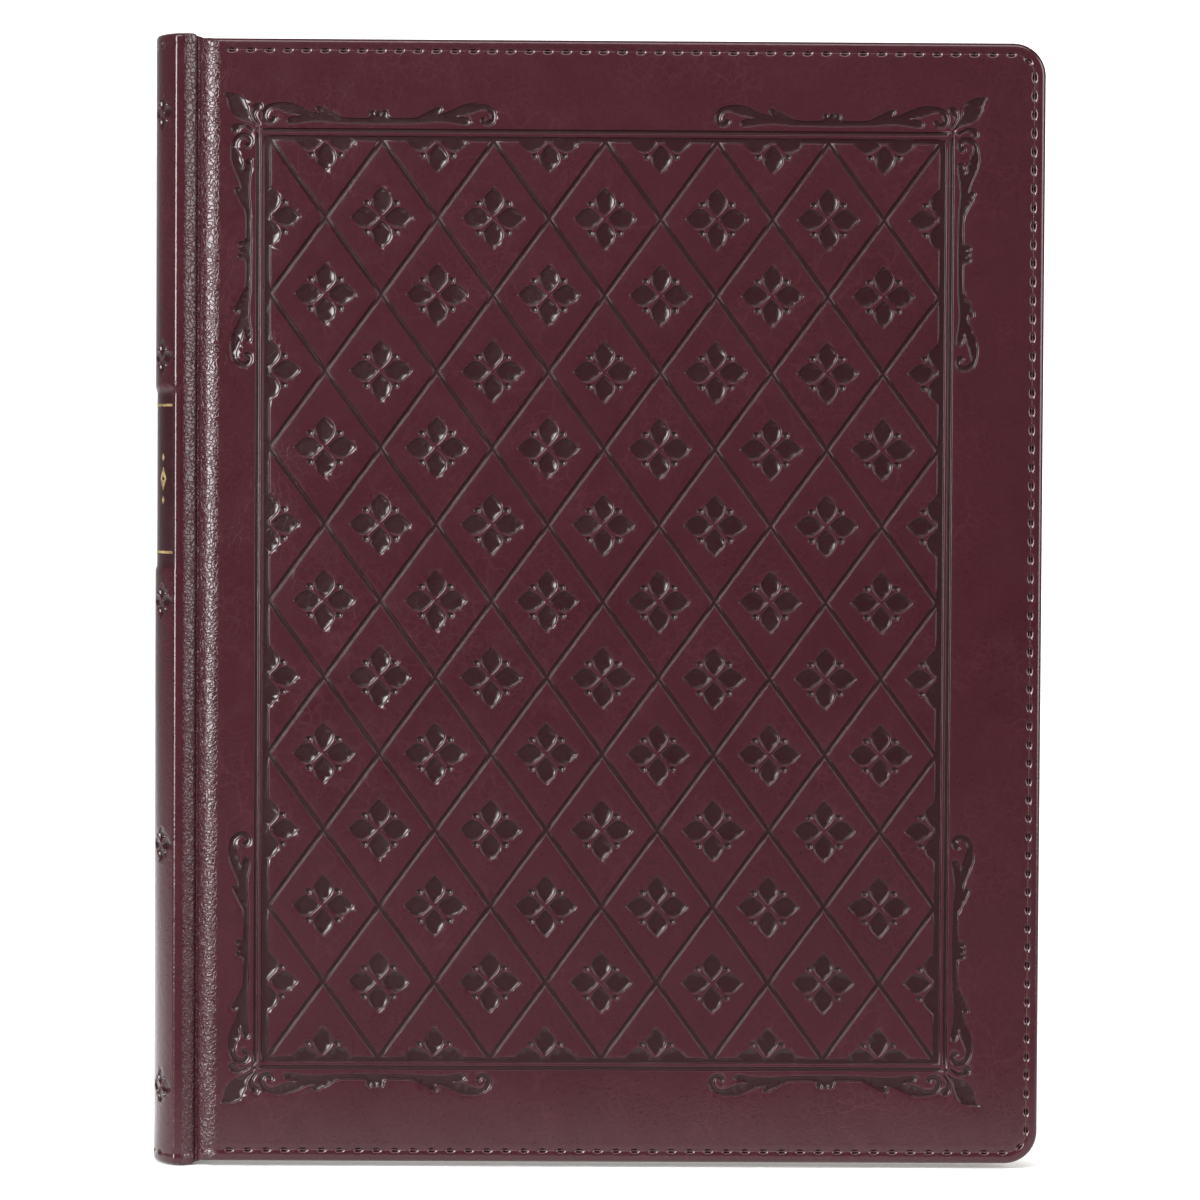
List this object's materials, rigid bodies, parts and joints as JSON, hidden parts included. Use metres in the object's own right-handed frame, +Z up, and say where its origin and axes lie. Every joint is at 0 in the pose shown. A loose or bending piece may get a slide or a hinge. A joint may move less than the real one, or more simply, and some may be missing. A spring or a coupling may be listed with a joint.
{
  "type": "prayer book",
  "caption": "Hardback prayer book with padded debossed burgundy leather covers, a round decorated spine, stitched edges and ivory pages; covers and leaves open.",
  "frame": {"origin": "middle of the footprint on the surface the closed book stands on, under the middle of its width and thickness", "axes": "+Z up along the spine from tail to head, +X from the spine towards the fore-edge, -Y out of the front cover"},
  "size_m": [0.1752, 0.04, 0.2236],
  "materials": {
    "cover_leather": "burgundy faux leather, fine grain, semi-matt with a soft sheen, debossed areas darker",
    "spine_leather": "burgundy faux leather as the covers, with a darker debossed label and gold tooling",
    "foam_padding": "thin grey foam sheet, matt",
    "grey_board": "grey binder's board, matt",
    "endpaper": "cream endpaper, matt with faint fibres",
    "page_paper": "ivory book paper, matt, fine lines of leaves at the edges",
    "stitching_thread": "twisted burgundy thread, slight sheen",
    "gauze": "open cotton gauze, matt",
    "kraft_paper": "brown kraft paper, matt",
    "headband_cloth": "red and cream striped corded band"
  },
  "bodies": {
    "text_block": {"spine_leather": "spine_leather", "spine_stiffener": "grey_board", "spine_lining": "kraft_paper", "backing_gauze": "gauze", "head_band": "headband_cloth", "tail_band": "headband_cloth", "spine_head_stitching": "stitching_thread", "spine_tail_stitching": "stitching_thread", "page_section_05": "page_paper", "page_section_06": "page_paper"},
    "front_cover": {"front_cover_leather": "cover_leather", "front_cover_padding": "foam_padding", "front_cover_board": "grey_board", "front_cover_pastedown": "endpaper", "front_cover_stitching": "stitching_thread"},
    "back_cover": {"back_cover_leather": "cover_leather", "back_cover_padding": "foam_padding", "back_cover_board": "grey_board", "back_cover_pastedown": "endpaper", "back_cover_stitching": "stitching_thread"},
    "front_leaf": {"front_flyleaf": "endpaper"},
    "back_leaf": {"back_flyleaf": "endpaper"},
    "section_01": {"page_section_01": "page_paper"},
    "section_02": {"page_section_02": "page_paper"},
    "section_03": {"page_section_03": "page_paper"},
    "section_04": {"page_section_04": "page_paper"},
    "section_07": {"page_section_07": "page_paper"},
    "section_08": {"page_section_08": "page_paper"},
    "section_09": {"page_section_09": "page_paper"},
    "section_10": {"page_section_10": "page_paper"}
  },
  "joints": [
    {"name": "front_cover_hinge", "type": "hinge", "parent": "text_block", "child": "front_cover", "pos_m": [-0.0794, -0.0188, 0.1118], "axis": [0, 0, -1], "range_deg": [0, 135]},
    {"name": "back_cover_hinge", "type": "hinge", "parent": "text_block", "child": "back_cover", "pos_m": [-0.0794, 0.0188, 0.1118], "axis": [0, 0, 1], "range_deg": [0, 135]},
    {"name": "front_flyleaf_turn", "type": "hinge", "parent": "text_block", "child": "front_leaf", "pos_m": [-0.0805, -0.01335, 0.1118], "axis": [0, 0, -1], "range_deg": [0, 67.5]},
    {"name": "back_flyleaf_turn", "type": "hinge", "parent": "text_block", "child": "back_leaf", "pos_m": [-0.0805, 0.01335, 0.1118], "axis": [0, 0, 1], "range_deg": [0, 67.5]},
    {"name": "section_01_turn", "type": "hinge", "parent": "text_block", "child": "section_01", "pos_m": [-0.08085, -0.01166, 0.1118], "axis": [0, 0, -1], "range_deg": [0, 21.6]},
    {"name": "section_02_turn", "type": "hinge", "parent": "text_block", "child": "section_02", "pos_m": [-0.08085, -0.00907, 0.1118], "axis": [0, 0, -1], "range_deg": [0, 16.2]},
    {"name": "section_03_turn", "type": "hinge", "parent": "text_block", "child": "section_03", "pos_m": [-0.08085, -0.00647, 0.1118], "axis": [0, 0, -1], "range_deg": [0, 10.8]},
    {"name": "section_04_turn", "type": "hinge", "parent": "text_block", "child": "section_04", "pos_m": [-0.08085, -0.00388, 0.1118], "axis": [0, 0, -1], "range_deg": [0, 5.4]},
    {"name": "section_07_turn", "type": "hinge", "parent": "text_block", "child": "section_07", "pos_m": [-0.08085, 0.00388, 0.1118], "axis": [0, 0, 1], "range_deg": [0, 5.4]},
    {"name": "section_08_turn", "type": "hinge", "parent": "text_block", "child": "section_08", "pos_m": [-0.08085, 0.00647, 0.1118], "axis": [0, 0, 1], "range_deg": [0, 10.8]},
    {"name": "section_09_turn", "type": "hinge", "parent": "text_block", "child": "section_09", "pos_m": [-0.08085, 0.00907, 0.1118], "axis": [0, 0, 1], "range_deg": [0, 16.2]},
    {"name": "section_10_turn", "type": "hinge", "parent": "text_block", "child": "section_10", "pos_m": [-0.08085, 0.01166, 0.1118], "axis": [0, 0, 1], "range_deg": [0, 21.6]}
  ],
  "couplings": [
    {"joint": "front_flyleaf_turn", "follows": "front_cover_hinge", "ratio": 0.5},
    {"joint": "back_flyleaf_turn", "follows": "back_cover_hinge", "ratio": 0.5},
    {"joint": "section_01_turn", "follows": "front_cover_hinge", "ratio": 0.16},
    {"joint": "section_02_turn", "follows": "front_cover_hinge", "ratio": 0.12},
    {"joint": "section_03_turn", "follows": "front_cover_hinge", "ratio": 0.08},
    {"joint": "section_04_turn", "follows": "front_cover_hinge", "ratio": 0.04},
    {"joint": "section_07_turn", "follows": "back_cover_hinge", "ratio": 0.04},
    {"joint": "section_08_turn", "follows": "back_cover_hinge", "ratio": 0.08},
    {"joint": "section_09_turn", "follows": "back_cover_hinge", "ratio": 0.12},
    {"joint": "section_10_turn", "follows": "back_cover_hinge", "ratio": 0.16}
  ]
}
